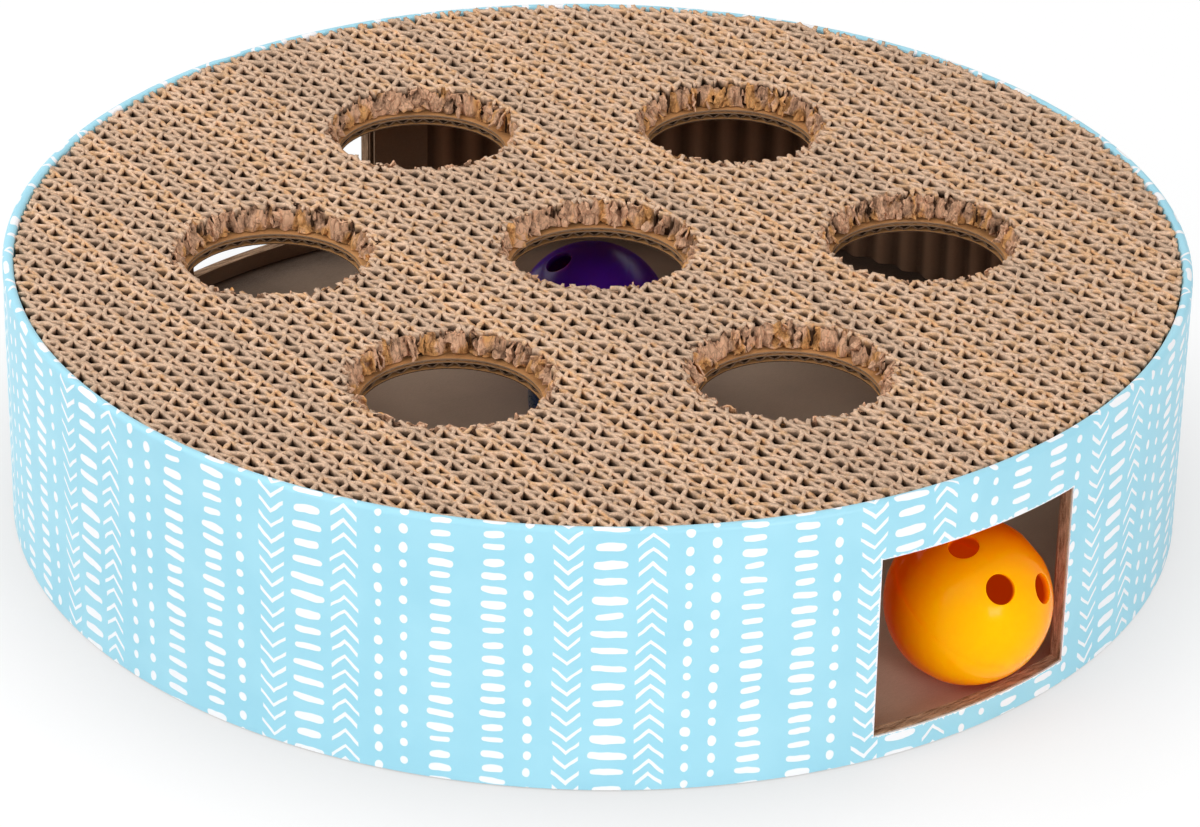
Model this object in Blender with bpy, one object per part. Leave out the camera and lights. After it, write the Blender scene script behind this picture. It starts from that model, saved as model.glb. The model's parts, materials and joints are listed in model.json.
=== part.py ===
"""Round cardboard scratcher box for a cat, with balls that roll about inside it.

A low drum of paper board stands on a round floor board. A fluted liner inside the wall
carries a support board, and on that lies a pad of corrugated strips set on edge. Seven
paw holes go through pad and support board, and two windows face each other in the wall.
Lengths are in metres and angles in degrees. +Z is up and the front window faces -Y.
"""

import math

import bmesh
import bpy
from mathutils import Matrix, Vector

# The drum: printed paper outside, a plain board behind it, a fluted liner inside
DRUM_RADIUS = 0.1525
DRUM_HEIGHT = 0.072
PAPER = 0.0005
WALL_BOARD = 0.0012
FLOOR_BOARD = 0.0042
RIM_ROUND = 0.0004
PAPER_LIFT = 0.0004
LINER_DEPTH = 0.0026
LINER_SHEET = 0.0005
LINER_FLUTE = 0.00815
FLUTE_CREST_SHARE = 0.3

# The lap strip that covers the joint of the liner, beside the back window
LAP_WIDTH = 0.016
LAP_BOARD = 0.0008
LAP_MARGIN = 0.0004

# The two windows, cut straight through the drum along Y
WINDOW_WIDTH = 0.0605
SILL_RISE = 0.0025
HEAD_MARGIN = 0.0045

# The scratching top: pad of strips on edge, and the board under it
PAD_THICKNESS = 0.0064
PAD_SUNK = 0.002
PAD_CLEARANCE = 0.0008
PAD_TURN = -3.0
STRIP_PITCH = 0.00655
GROOVE_WIDTH = 0.0006
GROOVE_DEPTH = 0.0006
SUPPORT_BOARD = 0.003
HOLE_RADIUS = 0.0253
HOLE_RING = 0.0835
HOLE_RING_START = 30.0
HOLE_LEDGE = 0.0026
RING_HOLES = 6

# The balls: two moulded halves each, with a ring of round holes in each half
BALL_DIAMETER = 0.0415
BALL_WALL = 0.0016
BALL_HOLE_DIAMETER = 0.0076
BALL_HOLE_LATITUDE = 35.3
BALL_HOLES = 5
ORANGE_OFFSET = 0.0092
BLUE_PLACE = (0.0028, -0.0014)
PURPLE_HEADING = 57.4
BALL_SPACING = 0.0035

# How each ball lies: the way its pole points, and its turn about that pole
ORANGE_POLE, ORANGE_SPIN = (0.23, -0.464, 0.855), 11.0
PURPLE_POLE, PURPLE_SPIN = (-0.681, 0.556, 0.477), 17.0
BLUE_POLE, BLUE_SPIN = (0.5, 0.3, 0.8), 0.0

# Room between pieces that are glued or that rest on each other
SEAT = 0.0003

# Colour and roughness of each finish
FINISHES = {
    "floor_kraft": ((0.20, 0.155, 0.12), 0.85),
    "wall_kraft": ((0.40, 0.25, 0.15), 0.85),
    "blue_print": ((0.38, 0.70, 0.84), 0.5),
    "liner_kraft": ((0.30, 0.19, 0.12), 0.85),
    "lap_kraft": ((0.27, 0.18, 0.12), 0.85),
    "pad_kraft": ((0.52, 0.33, 0.20), 0.9),
    "support_kraft": ((0.44, 0.25, 0.12), 0.85),
    "orange_plastic": ((1.0, 0.36, 0.01), 0.28),
    "purple_plastic": ((0.06, 0.005, 0.22), 0.28),
    "blue_plastic": ((0.01, 0.06, 0.17), 0.28),
}

# How finely round shapes are divided
DRUM_STEPS = 96
HOLE_STEPS = 32
BALL_STEPS = 20
BALL_RINGS = 6
BALL_HOLE_STEPS = 10
RIM_STEPS = 2
SMOOTH_ANGLE = 35.0
MERGE = 1e-6
OVERCUT = 0.01

# Radii of the wall, from the outside in
PAPER_INSIDE = DRUM_RADIUS - PAPER
BOARD_OUTSIDE = PAPER_INSIDE - SEAT
BOARD_INSIDE = BOARD_OUTSIDE - WALL_BOARD
LINER_OUTSIDE = BOARD_INSIDE - SEAT
LINER_INSIDE = LINER_OUTSIDE - LINER_DEPTH
TURN_IN_INSIDE = LINER_OUTSIDE - PAPER
PAD_RADIUS = TURN_IN_INSIDE - PAD_CLEARANCE

# Heights, from the floor up
LINER_FOOT = FLOOR_BOARD + SEAT
PAD_TOP = DRUM_HEIGHT - PAD_SUNK
PAD_FOOT = PAD_TOP - PAD_THICKNESS
SUPPORT_TOP = PAD_FOOT - SEAT
SUPPORT_FOOT = SUPPORT_TOP - SUPPORT_BOARD
LINER_TOP = SUPPORT_FOOT - SEAT
WINDOW_SILL = FLOOR_BOARD + SILL_RISE
WINDOW_HEAD = LINER_TOP - HEAD_MARGIN
BALL_RADIUS = BALL_DIAMETER / 2
BALL_CENTRE = FLOOR_BOARD + SEAT + BALL_RADIUS


def clear_scene():
    """Starts from an empty scene."""
    for thing in list(bpy.data.objects):
        bpy.data.objects.remove(thing, do_unlink=True)


def finish(name):
    """A plain material with the colour and gloss of a finish."""
    colour, roughness = FINISHES[name]
    material = bpy.data.materials.new(name)
    material.use_nodes = True
    shader = material.node_tree.nodes["Principled BSDF"]
    shader.inputs["Base Color"].default_value = (*colour, 1.0)
    shader.inputs["Roughness"].default_value = roughness
    shader.inputs["Metallic"].default_value = 0.0
    material.diffuse_color = (*colour, 1.0)
    return material


def make_object(name, bm):
    """Closes a bmesh into a named object in the scene."""
    bmesh.ops.remove_doubles(bm, verts=bm.verts, dist=MERGE)
    bmesh.ops.recalc_face_normals(bm, faces=bm.faces)
    mesh = bpy.data.meshes.new(name)
    bm.to_mesh(mesh)
    bm.free()
    thing = bpy.data.objects.new(name, mesh)
    bpy.context.scene.collection.objects.link(thing)
    return thing


def add_piece(name, bm, material, parent=None):
    """A piece of the object, shaded smooth across its gentle angles."""
    piece = make_object(name, bm)
    piece.data.materials.append(material)
    piece.data.shade_smooth()
    piece.data.set_sharp_from_angle(angle=math.radians(SMOOTH_ANGLE))
    piece.parent = parent
    return piece


def add_cutter(name, bm, parent=None):
    """A shape that only cuts others."""
    cutter = make_object(name, bm)
    cutter.hide_render = True
    cutter.display_type = "WIRE"
    cutter.parent = parent
    return cutter


def cut(piece, cutter):
    """Takes a cutter out of a piece."""
    modifier = piece.modifiers.new(cutter.name, "BOOLEAN")
    modifier.operation = "DIFFERENCE"
    modifier.solver = "EXACT"
    modifier.object = cutter


def add_pivot(name, place):
    """An empty at the point that a moving piece is carried by."""
    pivot = bpy.data.objects.new(name, None)
    pivot.location = place
    bpy.context.scene.collection.objects.link(pivot)
    return pivot


def turned(profile, steps):
    """A closed outline of (radius, height) points, turned once about Z."""
    bm = bmesh.new()
    verts = [bm.verts.new((radius, 0.0, height)) for radius, height in profile]
    edges = [bm.edges.new((verts[i - 1], verts[i])) for i in range(len(verts))]
    bmesh.ops.spin(bm, geom=verts + edges, cent=(0, 0, 0), axis=(0, 0, 1),
                   angle=2 * math.pi, steps=steps, use_merge=True)
    return bm


def add_cylinder(bm, radius, foot, top, steps, place=(0.0, 0.0), turn=0.0):
    """A closed cylinder on a vertical axis."""
    middle = Vector((place[0], place[1], (foot + top) / 2))
    matrix = Matrix.Translation(middle) @ Matrix.Rotation(turn, 4, "Z")
    bmesh.ops.create_cone(bm, cap_ends=True, cap_tris=False, segments=steps,
                          radius1=radius, radius2=radius, depth=top - foot, matrix=matrix)


def add_block(bm, low, high):
    """A closed box between two corners."""
    size = [b - a for a, b in zip(low, high)]
    middle = [(a + b) / 2 for a, b in zip(low, high)]
    matrix = Matrix.Translation(middle) @ Matrix.Diagonal((*size, 1.0))
    bmesh.ops.create_cube(bm, size=1.0, matrix=matrix)


def hole_places():
    """Centres of the paw holes: one in the middle and a ring around it."""
    places = [(0.0, 0.0)]
    for number in range(RING_HOLES):
        angle = math.radians(HOLE_RING_START + PAD_TURN + 360.0 / RING_HOLES * number)
        places.append((HOLE_RING * math.cos(angle), HOLE_RING * math.sin(angle)))
    return places


def hole_cutter(name, radius, foot, top, parent):
    """All the paw holes of one layer as one cutting shape."""
    bm = bmesh.new()
    for place in hole_places():
        add_cylinder(bm, radius, foot - OVERCUT, top + OVERCUT, HOLE_STEPS, place)
    return add_cutter(name, bm, parent)


def window_cutter():
    """One long bar that opens both windows."""
    reach = DRUM_RADIUS + OVERCUT
    bm = bmesh.new()
    add_block(bm, (-WINDOW_WIDTH / 2, -reach, WINDOW_SILL), (WINDOW_WIDTH / 2, reach, WINDOW_HEAD))
    return add_cutter("window_cutter", bm)


def build_floor(material):
    bm = bmesh.new()
    add_cylinder(bm, LINER_OUTSIDE, 0.0, FLOOR_BOARD, DRUM_STEPS)
    add_piece("floor_board", bm, material)


def build_wall_board(material, windows):
    top = DRUM_HEIGHT - PAPER - SEAT
    profile = [(BOARD_OUTSIDE, 0.0), (BOARD_OUTSIDE, top), (BOARD_INSIDE, top), (BOARD_INSIDE, 0.0)]
    cut(add_piece("wall_board", turned(profile, DRUM_STEPS), material), windows)


def build_printed_paper(material, windows):
    """The printed sheet covers the wall, turns over the rim and tucks in behind it."""
    tuck = LINER_TOP + SEAT
    under = DRUM_HEIGHT - PAPER
    profile = [(PAPER_INSIDE, PAPER_LIFT), (DRUM_RADIUS, PAPER_LIFT)]
    for step in range(RIM_STEPS + 1):
        angle = math.pi / 2 * step / RIM_STEPS
        profile.append((DRUM_RADIUS - RIM_ROUND * (1 - math.cos(angle)),
                        DRUM_HEIGHT - RIM_ROUND * (1 - math.sin(angle))))
    profile += [(TURN_IN_INSIDE, DRUM_HEIGHT), (TURN_IN_INSIDE, tuck), (LINER_OUTSIDE, tuck),
                (LINER_OUTSIDE, under), (PAPER_INSIDE, under)]
    cut(add_piece("printed_paper", turned(profile, DRUM_STEPS), material), windows)


def build_liner(material, windows):
    """Single-faced corrugated board: smooth against the wall, fluted towards the balls."""
    flutes = round(2 * math.pi * LINER_INSIDE / LINER_FLUTE)
    valley = LINER_OUTSIDE - LINER_SHEET
    half = FLUTE_CREST_SHARE / 2
    wave = [(-half, LINER_INSIDE), (half, LINER_INSIDE), (0.5 - half, valley), (0.5 + half, valley)]
    bm = bmesh.new()
    outer, inner = [], []
    for flute in range(flutes):
        for share, radius in wave:
            angle = 2 * math.pi * (flute + share) / flutes
            way = Vector((math.cos(angle), math.sin(angle), 0.0))
            foot = Vector((0.0, 0.0, LINER_FOOT))
            outer.append(bm.verts.new(foot + way * LINER_OUTSIDE))
            inner.append(bm.verts.new(foot + way * radius))
    for i in range(len(outer)):
        bm.faces.new((outer[i - 1], outer[i], inner[i], inner[i - 1]))
    raised = bmesh.ops.extrude_face_region(bm, geom=list(bm.faces), use_keep_orig=True)
    corners = [part for part in raised["geom"] if isinstance(part, bmesh.types.BMVert)]
    bmesh.ops.translate(bm, verts=corners, vec=(0.0, 0.0, LINER_TOP - LINER_FOOT))
    cut(add_piece("fluted_liner", bm, material), windows)


def build_lap_strip(material):
    """The smooth strip over the liner's joint, just beside the back window."""
    outside = LINER_INSIDE - SEAT
    inside = outside - LAP_BOARD
    start = math.acos((WINDOW_WIDTH / 2 + LAP_MARGIN) / inside)
    sweep = LAP_WIDTH / inside
    bm = bmesh.new()
    corners = [(inside, LINER_FOOT), (outside, LINER_FOOT), (outside, LINER_TOP), (inside, LINER_TOP)]
    face = bm.faces.new([bm.verts.new((radius, 0.0, height)) for radius, height in corners])
    bmesh.ops.rotate(bm, verts=bm.verts, cent=(0, 0, 0), matrix=Matrix.Rotation(start - sweep, 3, "Z"))
    steps = max(2, round(DRUM_STEPS * sweep / (2 * math.pi)))
    bmesh.ops.spin(bm, geom=[face, *face.edges, *face.verts], cent=(0, 0, 0), axis=(0, 0, 1),
                   angle=sweep, steps=steps)
    bm.faces.remove(face)
    first = [edge for edge in bm.edges if edge.is_boundary]
    bmesh.ops.holes_fill(bm, edges=first)
    add_piece("lap_strip", bm, material)


def groove_cutter(parent):
    """Shallow vees along the joints between the pad's strips."""
    strips = math.ceil(2 * PAD_RADIUS / STRIP_PITCH)
    reach = PAD_RADIUS + OVERCUT
    rise = PAD_TOP + GROOVE_DEPTH
    flare = GROOVE_WIDTH
    turn = Matrix.Rotation(math.radians(PAD_TURN), 3, "Z")
    bm = bmesh.new()
    for number in range(1, strips):
        x = (number - strips / 2) * STRIP_PITCH
        ends = []
        for y in (-reach, reach):
            vee = [(x, PAD_TOP - GROOVE_DEPTH), (x + flare, rise), (x - flare, rise)]
            ends.append([bm.verts.new(turn @ Vector((across, y, height))) for across, height in vee])
        near, far = ends
        bm.faces.new(near)
        bm.faces.new(reversed(far))
        for i in range(len(near)):
            bm.faces.new((near[i - 1], far[i - 1], far[i], near[i]))
    return add_cutter("groove_cutter", bm, parent)


def build_scratching_top(pad_material, board_material):
    """The pad and its support board, which lift out of the drum together."""
    lift = add_pivot("scratching_top_lift", (0.0, 0.0, 0.0))
    layers = (
        ("scratch_pad", PAD_FOOT, PAD_TOP, HOLE_RADIUS, pad_material),
        ("support_board", SUPPORT_FOOT, SUPPORT_TOP, HOLE_RADIUS - HOLE_LEDGE, board_material),
    )
    for name, foot, top, radius, material in layers:
        bm = bmesh.new()
        add_cylinder(bm, PAD_RADIUS, foot, top, DRUM_STEPS)
        layer = add_piece(name, bm, material, lift)
        cut(layer, hole_cutter(f"{name}_holes", radius, foot, top, lift))
        if layer.name == "scratch_pad":
            cut(layer, groove_cutter(lift))


def half_ball_outline():
    """The wall of a half ball from its seam to its pole, as (radius, height) points."""
    seam = SEAT / 2
    outline = []
    for radius in (BALL_RADIUS, BALL_RADIUS - BALL_WALL):
        start = math.asin(seam / radius)
        arc = []
        for ring in range(BALL_RINGS + 1):
            angle = start + (math.pi / 2 - start) * ring / BALL_RINGS
            across = 0.0 if ring == BALL_RINGS else radius * math.cos(angle)
            arc.append((across, radius * math.sin(angle)))
        outline.append(arc)
    outer, inner = outline
    return outer + inner[::-1]


def ball_hole_cutter(name, parent):
    """The ring of round holes around a half ball's pole."""
    bm = bmesh.new()
    for number in range(BALL_HOLES):
        around = Matrix.Rotation(2 * math.pi * number / BALL_HOLES, 4, "Z")
        lean = Matrix.Rotation(math.radians(BALL_HOLE_LATITUDE), 4, "Y")
        out = Matrix.Translation((0.0, 0.0, BALL_RADIUS))
        bmesh.ops.create_cone(bm, cap_ends=True, cap_tris=False, segments=BALL_HOLE_STEPS,
                              radius1=BALL_HOLE_DIAMETER / 2, radius2=BALL_HOLE_DIAMETER / 2,
                              depth=4 * BALL_WALL, matrix=around @ lean @ out)
    return add_cutter(name, bm, parent)


def build_ball(colour_name, place, pole, spin, material):
    """A hollow ball of two halves, its pole along pole and its holes turned by spin."""
    pivot = add_pivot(f"{colour_name}_ball_roll", (place[0], place[1], BALL_CENTRE))
    lean = Vector((0, 0, 1)).rotation_difference(Vector(pole)).to_matrix().to_4x4()
    pose = lean @ Matrix.Rotation(math.radians(spin), 4, "Z")
    for side, flip in (("upper", 0.0), ("lower", math.pi)):
        half_pose = pose @ Matrix.Rotation(flip, 4, "X")
        half = add_piece(f"{colour_name}_ball_{side}", turned(half_ball_outline(), BALL_STEPS),
                         material, pivot)
        half.matrix_basis = half_pose
        holes = ball_hole_cutter(f"{colour_name}_ball_{side}_holes", pivot)
        holes.matrix_basis = half_pose
        cut(half, holes)


def orange_place():
    """The orange ball leans out of the front window, against the inner edge of the sill."""
    drop = BALL_CENTRE - WINDOW_SILL
    reach = BALL_RADIUS + SEAT
    back = math.sqrt(max(reach ** 2 - drop ** 2, 0.0))
    sill = math.sqrt(LINER_INSIDE ** 2 - ORANGE_OFFSET ** 2)
    return (ORANGE_OFFSET, back - sill)


def purple_place():
    """The purple ball lies close to the blue one."""
    heading = math.radians(PURPLE_HEADING)
    step = BALL_DIAMETER + BALL_SPACING
    return (BLUE_PLACE[0] + step * math.cos(heading), BLUE_PLACE[1] + step * math.sin(heading))


def main():
    clear_scene()
    windows = window_cutter()
    build_floor(finish("floor_kraft"))
    build_wall_board(finish("wall_kraft"), windows)
    build_printed_paper(finish("blue_print"), windows)
    build_liner(finish("liner_kraft"), windows)
    build_lap_strip(finish("lap_kraft"))
    build_scratching_top(finish("pad_kraft"), finish("support_kraft"))
    build_ball("orange", orange_place(), ORANGE_POLE, ORANGE_SPIN, finish("orange_plastic"))
    build_ball("purple", purple_place(), PURPLE_POLE, PURPLE_SPIN, finish("purple_plastic"))
    build_ball("blue", BLUE_PLACE, BLUE_POLE, BLUE_SPIN, finish("blue_plastic"))


main()
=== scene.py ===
# %% [markdown]
# # A round cardboard puzzle box for a cat
#
# The box is a low drum of printed board. A pad of corrugated strips lies on top for scratching,
# seven holes in it let a paw through, and hollow balls roll about inside. This lesson dresses the
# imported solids: it makes the paper, the flutes and the plastic look like the real ones.
#
# The first step loads those solids as a fixed frame. They are never moved, so every new piece is
# placed by asking the frame where its neighbours are.

# %% Load the frame
import json
import math
import random

import bpy
from mathutils import Matrix, Vector, noise


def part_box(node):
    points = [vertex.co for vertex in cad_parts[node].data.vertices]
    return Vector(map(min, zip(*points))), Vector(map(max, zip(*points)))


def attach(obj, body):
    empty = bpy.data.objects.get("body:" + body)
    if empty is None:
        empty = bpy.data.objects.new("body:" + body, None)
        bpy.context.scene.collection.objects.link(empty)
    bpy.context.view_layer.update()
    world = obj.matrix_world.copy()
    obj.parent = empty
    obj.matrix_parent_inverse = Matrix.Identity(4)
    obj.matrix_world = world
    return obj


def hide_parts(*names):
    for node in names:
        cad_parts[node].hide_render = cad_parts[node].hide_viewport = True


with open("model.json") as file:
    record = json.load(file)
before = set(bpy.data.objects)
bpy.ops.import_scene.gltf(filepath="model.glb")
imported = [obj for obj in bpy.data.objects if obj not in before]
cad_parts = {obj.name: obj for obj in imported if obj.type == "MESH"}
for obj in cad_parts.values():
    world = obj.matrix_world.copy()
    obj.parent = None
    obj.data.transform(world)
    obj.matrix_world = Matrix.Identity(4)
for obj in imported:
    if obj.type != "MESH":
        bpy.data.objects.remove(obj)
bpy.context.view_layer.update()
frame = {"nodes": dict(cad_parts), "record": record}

print("solids:", sorted(frame["nodes"]))

# %% [markdown]
# The sizes come from the boxes of the solids, in metres. Only thicknesses and openings that a box
# can't tell are written here. The centres of the paw holes are the middles of the openings that
# the record states.

# %% Sizes from the frame
MM = 0.001
DRUM_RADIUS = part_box("printed_paper")[1].x
DRUM_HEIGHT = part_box("printed_paper")[1].z
PAPER_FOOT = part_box("printed_paper")[0].z
LINER_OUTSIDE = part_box("floor_board")[1].x
LINER_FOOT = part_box("fluted_liner")[0].z
LINER_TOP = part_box("fluted_liner")[1].z
PAD_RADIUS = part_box("scratch_pad")[1].x
PAD_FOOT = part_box("scratch_pad")[0].z
PAD_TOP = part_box("scratch_pad")[1].z
SUPPORT_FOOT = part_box("support_board")[0].z
SUPPORT_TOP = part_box("support_board")[1].z
PAPER = 0.5 * MM
WINDOW_WIDTH = 60.5 * MM
WINDOW_SILL = 6.7 * MM
WINDOW_HEAD = 55.5 * MM
HOLE_RADIUS = 25.3 * MM
HOLE_LEDGE = 2.6 * MM

holes = []
for opening in frame["record"]["physics"]["openings"]:
    if opening["name"].startswith("paw_hole"):
        low, high = (Vector(corner) for corner in opening["box_m"])
        holes.append(((low + high) / 2).to_2d())
print(f"drum {2 * DRUM_RADIUS / MM:.1f} by {DRUM_HEIGHT / MM:.1f} mm, {len(holes)} paw holes")

# %% [markdown]
# Blender's operators act on whatever is selected, so each step starts by clearing the selection.
# These helpers start a piece from a primitive or from data, pick one object and enter edit mode.

# %% Starting and picking
def pick(piece):
    """Selects one object alone and makes it the active one."""
    bpy.ops.object.select_all(action="DESELECT")
    piece.select_set(True)
    bpy.context.view_layer.objects.active = piece


def named(piece, name):
    piece.name = name
    piece.data.name = name
    return piece


def started(name, kind, **settings):
    """Adds a primitive of some kind, alone, and puts its place and size in its mesh."""
    bpy.ops.object.select_all(action="DESELECT")
    getattr(bpy.ops.mesh, f"primitive_{kind}_add")(**settings)
    bpy.ops.object.transform_apply(location=True, rotation=True, scale=True)
    return named(bpy.context.object, name)


def placed(name, data):
    """A new object in the scene for some data."""
    piece = bpy.data.objects.new(name, data)
    bpy.context.scene.collection.objects.link(piece)
    return piece


def edit(piece, choose="SELECT"):
    """Enters edit mode with everything, or nothing, selected."""
    pick(piece)
    bpy.ops.object.mode_set(mode="EDIT")
    bpy.ops.mesh.select_all(action=choose)


def leave_edit():
    bpy.ops.object.mode_set(mode="OBJECT")


# %% [markdown]
# Modifiers finish a piece and are applied at once, so that every piece ends as a plain mesh. A cut is one
# of them, the Boolean. The last helper says which body a piece moves with and which solid it stands for.

# %% Modifiers, cuts and seats
def apply_modifier(piece, kind, **settings):
    """Adds a modifier, sets it and applies it at once."""
    modifier = piece.modifiers.new(kind, kind)
    for key, value in settings.items():
        setattr(modifier, key, value)
    pick(piece)
    bpy.ops.object.modifier_apply(modifier=modifier.name)


def cut(piece, cutter, operation="DIFFERENCE"):
    apply_modifier(piece, "BOOLEAN", operation=operation, object=cutter, solver="EXACT",
                   material_mode="TRANSFER")


def remove(piece):
    bpy.data.objects.remove(piece, do_unlink=True)


def joined(name, pieces):
    """Joins several objects into one."""
    pick(pieces[0])
    for piece in pieces:
        piece.select_set(True)
    bpy.ops.object.join()
    return named(bpy.context.object, name)


def smooth(piece, degrees):
    pick(piece)
    bpy.ops.object.shade_smooth_by_angle(angle=math.radians(degrees))


def seat(piece, body, slot, *nodes):
    """The piece moves with a body and stands for some solids. The slot is not used."""
    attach(piece, body)
    if nodes:
        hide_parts(*nodes)
    print(f"{piece.name}: {len(piece.data.polygons)} faces, moves with {body}")


# %% [markdown]
# Round walls are turned. By hand that is a circle, extruded from one point of an outline to the
# next: each extrusion moves up or down, and a resize gives the new radius. When the outline is
# closed, the last ring lands on the first and the two are merged.

# %% Turning
DRUM_STEPS = 288
MERGE = 0.001 * MM


def turned(name, outline):
    """A closed ring from an outline of (radius, height) points."""
    radius, height = outline[0]
    piece = started(name, "circle", vertices=DRUM_STEPS, radius=radius, location=(0, 0, height))
    edit(piece)
    for next_radius, next_height in [*outline[1:], outline[0]]:
        rise = (0, 0, next_height - height)
        bpy.ops.mesh.extrude_region_move(TRANSFORM_OT_translate={"value": rise})
        share = next_radius / radius
        bpy.ops.transform.resize(value=(share, share, 1), center_override=(0, 0, next_height))
        radius, height = next_radius, next_height
    bpy.ops.mesh.select_all(action="SELECT")
    bpy.ops.mesh.remove_doubles(threshold=MERGE)
    bpy.ops.mesh.normals_make_consistent(inside=False)
    leave_edit()
    return piece


def band(name, inside, outside, foot, top, finish):
    """A ring between two radii and two heights, in one finish."""
    ring = turned(name, [(inside, foot), (outside, foot), (outside, top), (inside, top)])
    ring.data.materials.append(finish)
    return ring


# %% [markdown]
# ## Shader sums
#
# Materials here are sums on coordinates. Wiring Math nodes one by one hides the idea, so a small
# class wraps a socket: adding, multiplying or comparing two of them adds the Math node that does
# it. Every other node comes from its one method, node.

# %% A socket that can be used in sums
class Flow:
    """A socket of a material's node tree that Python sums can use."""

    def __init__(self, tree, socket=None):
        self.tree = tree
        self.socket = socket

    def node(self, kind, settings=None, sockets=None, out=0):
        """Adds a node: first its settings, then its sockets. Returns one output."""
        made = self.tree.nodes.new(kind)
        for key, value in (settings or {}).items():
            setattr(made, key, value)
        for key, value in (sockets or {}).items():
            if isinstance(value, Flow):
                self.tree.links.new(value.socket, made.inputs[key])
            else:
                made.inputs[key].default_value = value
        return Flow(self.tree, made.outputs[out])

    def maths(self, operation, *values, clamp=False):
        settings = {"operation": operation, "use_clamp": clamp}
        return self.node("ShaderNodeMath", settings, dict(enumerate(values)))

    def __add__(self, other):
        return self.maths("ADD", self, other)

    def __radd__(self, other):
        return self.maths("ADD", other, self)

    def __sub__(self, other):
        return self.maths("SUBTRACT", self, other)

    def __rsub__(self, other):
        return self.maths("SUBTRACT", other, self)

    def __mul__(self, other):
        return self.maths("MULTIPLY", self, other)

    def __rmul__(self, other):
        return self.maths("MULTIPLY", other, self)

    def __truediv__(self, other):
        return self.maths("DIVIDE", self, other)

    def __abs__(self):
        return self.maths("ABSOLUTE", self)

    def floor(self):
        return self.maths("FLOOR", self)

    def least(self, other):
        return self.maths("MINIMUM", self, other)

    def most(self, other):
        return self.maths("MAXIMUM", self, other)

    def held(self):
        """The same value, held between 0 and 1."""
        return self.maths("ADD", self, 0.0, clamp=True)

    def between(self, low, high):
        """0 up to low, 1 from high, and a straight ramp between them."""
        return ((self - low) / (high - low)).held()

    def blend(self, first, second):
        """first where this value is 0, second where it is 1, for colours."""
        return self.node("ShaderNodeMix", {"data_type": "RGBA"}, {0: self, 6: first, 7: second}, out=2)


# %% [markdown]
# A material starts from a Principled shader. Numbers that are the same all over go straight onto
# its sockets, and what changes over the surface is linked to them.

# %% Starting and wiring a material
def new_material(name, **constants):
    """A material and a Flow to build on. A constant's name has _ for each space."""
    material = bpy.data.materials.new(name)
    material.use_nodes = True
    shader = material.node_tree.nodes["Principled BSDF"]
    for key, value in constants.items():
        shader.inputs[key.replace("_", " ")].default_value = value
    return material, Flow(material.node_tree)


def wire(material, **flows):
    """Links flows to the shader's sockets."""
    shader = material.node_tree.nodes["Principled BSDF"]
    for key, flow in flows.items():
        material.node_tree.links.new(flow.socket, shader.inputs[key.replace("_", " ")])


def colour(red, green, blue):
    return (red, green, blue, 1.0)


# %% [markdown]
# Most sums start from the place on the piece, in metres. The finishes below are mixed from its parts
# and from noises of a given scale, and a Bump node turns such a sum into a rough surface.

# %% Places, noises and bumps
def object_place(start):
    return start.node("ShaderNodeTexCoord", out="Object")


def parts_of(place):
    """The x, y and z of a place."""
    return [place.node("ShaderNodeSeparateXYZ", {}, {0: place}, out=axis) for axis in range(3)]


def span(first, second):
    """The straight length of a step with these two parts."""
    square = first * first + second * second
    return square.maths("SQRT", square)


def clouds(place, scale, detail=2.0, roughness=0.5):
    """Soft noise from 0 to 1, with scale in features per metre."""
    sockets = {"Vector": place, "Scale": scale, "Detail": detail, "Roughness": roughness}
    return place.node("ShaderNodeTexNoise", {}, sockets)


def stretched(place, scale, turn=0.0):
    """A place squeezed along each axis, and first turned about Z."""
    sockets = {"Vector": place, "Scale": scale, "Rotation": (0.0, 0.0, turn)}
    return place.node("ShaderNodeMapping", {}, sockets)


def bumped(start, height, strength, distance):
    sockets = {"Height": height, "Strength": strength, "Distance": distance}
    return start.node("ShaderNodeBump", {}, sockets)


# %% [markdown]
# ## Kraft board
#
# Plain brown board is pressed fibre. It has soft blotches some centimetres wide, fibres that run
# mostly one way, and a fine fleck. Three noises of those scales are mixed into two browns, and the
# fibres also lift the surface a little.

# %% Kraft finish
BLOTCH_SCALE = 45.0
FLECK_SCALE = 2600.0
FIBRE_SCALE = (500.0, 2100.0, 2100.0)
FIBRE_LIFT = 0.12 * MM


def kraft(name, pale, dark, turn=0.0, roughness=0.85, shade_and_wear=None):
    """Brown board. Where the last argument is given, it says how pale each place is: it paints shade, and
    on the crests of the liner's flutes also wear.
    """
    material, start = new_material(name, Specular_IOR_Level=0.2)
    place = object_place(start)
    blotches = clouds(place, BLOTCH_SCALE, 3.0)
    fibres = clouds(stretched(place, FIBRE_SCALE, turn), 1.0, 2.0, 0.6)
    fleck = clouds(place, FLECK_SCALE, 1.0)
    shade = (0.5 * blotches + 0.2 * fibres + 0.3 * fleck).between(0.32, 0.66)
    if shade_and_wear:
        shade = 0.25 * shade + 0.75 * shade_and_wear(place)
    wire(material, Base_Color=shade.blend(colour(*dark), colour(*pale)),
         Roughness=roughness - 0.15 * (fibres - 0.5),
         Normal=bumped(start, fibres + 0.5 * fleck, 0.35, FIBRE_LIFT))
    return material


# %% [markdown]
# The floor and the lap strip keep their solids and only get a finish. Along the liner the floor is darkened
# with painted shade, except by the front window.

# %% Floor, lap strip and other browns
SHADE_BAND_REACH, SHADE_BAND_EDGE = 28 * MM, 6 * MM
UNSHADED_FRONT = (-110 * MM, -70 * MM)


def painted_floor_shade(place):
    """1 on the open floor, 0 in the painted shade along the liner. By the front window there is none."""
    x, y, _ = parts_of(place)
    shade_band = span(x, y).between(LINER_OUTSIDE - SHADE_BAND_REACH, LINER_OUTSIDE - SHADE_BAND_EDGE)
    return 1 - shade_band * y.between(*UNSHADED_FRONT)


# The dark brown of the floor is the painted shade along the liner.
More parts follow.
